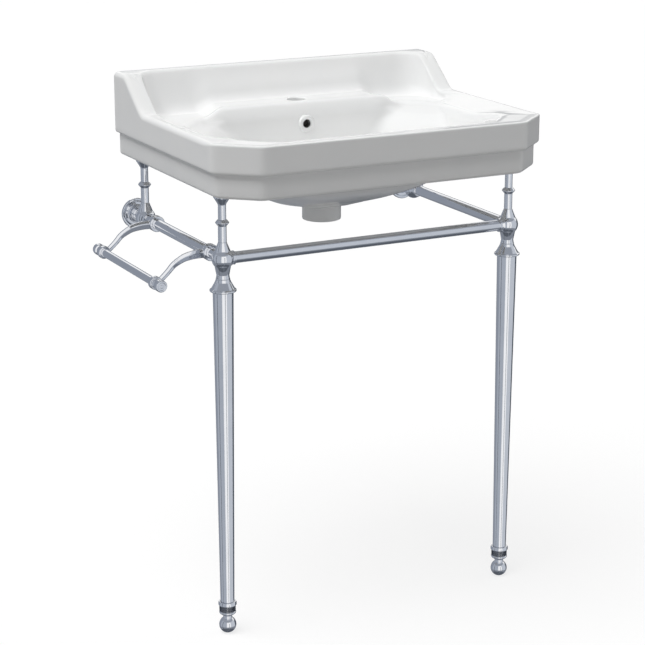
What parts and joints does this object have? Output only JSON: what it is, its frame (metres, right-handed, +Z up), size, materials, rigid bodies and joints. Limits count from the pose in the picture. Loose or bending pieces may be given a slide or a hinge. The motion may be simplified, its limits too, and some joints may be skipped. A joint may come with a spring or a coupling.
{
  "type": "console sink with legs",
  "caption": "Glazed ceramic console basin with splashback, on a chromed stand with turned tapering legs, levelling feet and a side towel holder.",
  "frame": {"origin": "on the wall plane, midway between the two holes for the wall bolts, 790 mm above the floor", "axes": "+Z up, +Y into the wall so the sink's front faces -Y, +X to the right seen from the front"},
  "size_m": [0.684, 0.47, 0.908],
  "materials": {
    "glaze": "gloss",
    "chrome": "polished",
    "knurled_chrome": "satin",
    "steel": "satin",
    "rubber": "matte"
  },
  "bodies": {
    "stand": {"basin": "glaze", "left_leg_tube": "chrome", "left_leg_top_plug": "steel", "left_leg_tip_insert": "steel", "front_left_fitting": "chrome", "rear_left_fitting": "chrome", "left_wall_flange": "chrome", "left_side_rail": "chrome", "front_left_support_stem": "chrome", "front_left_support_cap": "chrome", "front_left_support_pad": "rubber", "rear_left_support_stem": "chrome", "rear_left_support_cap": "chrome", "rear_left_support_pad": "rubber", "right_leg_tube": "chrome", "right_leg_top_plug": "steel", "right_leg_tip_insert": "steel", "front_right_fitting": "chrome", "rear_right_fitting": "chrome", "right_wall_flange": "chrome", "right_side_rail": "chrome", "front_right_support_stem": "chrome", "front_right_support_cap": "chrome", "front_right_support_pad": "rubber", "rear_right_support_stem": "chrome", "rear_right_support_cap": "chrome", "rear_right_support_pad": "rubber", "front_rail": "chrome", "leg_joining_studs": "steel", "support_rods": "steel", "rail_grub_screws": "steel"},
    "towel_holder": {"front_towel_arm": "chrome", "rear_towel_arm": "chrome", "arm_grub_screws": "steel"},
    "towel_bar": {"towel_bar": "chrome", "front_towel_knob": "chrome", "rear_towel_knob": "chrome"},
    "left_foot_screw": {"left_foot_stud": "steel"},
    "left_foot": {"left_foot_collar": "knurled_chrome", "left_foot_ball": "chrome"},
    "right_foot_screw": {"right_foot_stud": "steel"},
    "right_foot": {"right_foot_collar": "knurled_chrome", "right_foot_ball": "chrome"}
  },
  "joints": [
    {"name": "towel_holder_swing", "type": "hinge", "parent": "stand", "child": "towel_holder", "pos_m": [-0.27, -0.2095, -0.136], "axis": [0, 1, 0], "range_deg": [-65, 60]},
    {"name": "towel_bar_spin", "type": "hinge", "parent": "towel_holder", "child": "towel_bar", "pos_m": [-0.368, -0.2095, -0.176], "axis": [0, 1, 0], "continuous": true},
    {"name": "left_foot_travel", "type": "slide", "parent": "stand", "child": "left_foot_screw", "axis": [0, 0, -1], "range_m": [0, 0.0101]},
    {"name": "left_foot_turn", "type": "hinge", "parent": "left_foot_screw", "child": "left_foot", "pos_m": [-0.27, -0.374, -0.776], "axis": [0, 0, -1], "range_deg": [0, 2880]},
    {"name": "right_foot_travel", "type": "slide", "parent": "stand", "child": "right_foot_screw", "axis": [0, 0, -1], "range_m": [0, 0.0101]},
    {"name": "right_foot_turn", "type": "hinge", "parent": "right_foot_screw", "child": "right_foot", "pos_m": [0.27, -0.374, -0.776], "axis": [0, 0, -1], "range_deg": [0, 2880]}
  ],
  "couplings": [
    {"joint": "left_foot_travel", "follows": "left_foot_turn", "m_per_rad": 0.00019894},
    {"joint": "right_foot_travel", "follows": "right_foot_turn", "m_per_rad": 0.00019894}
  ]
}
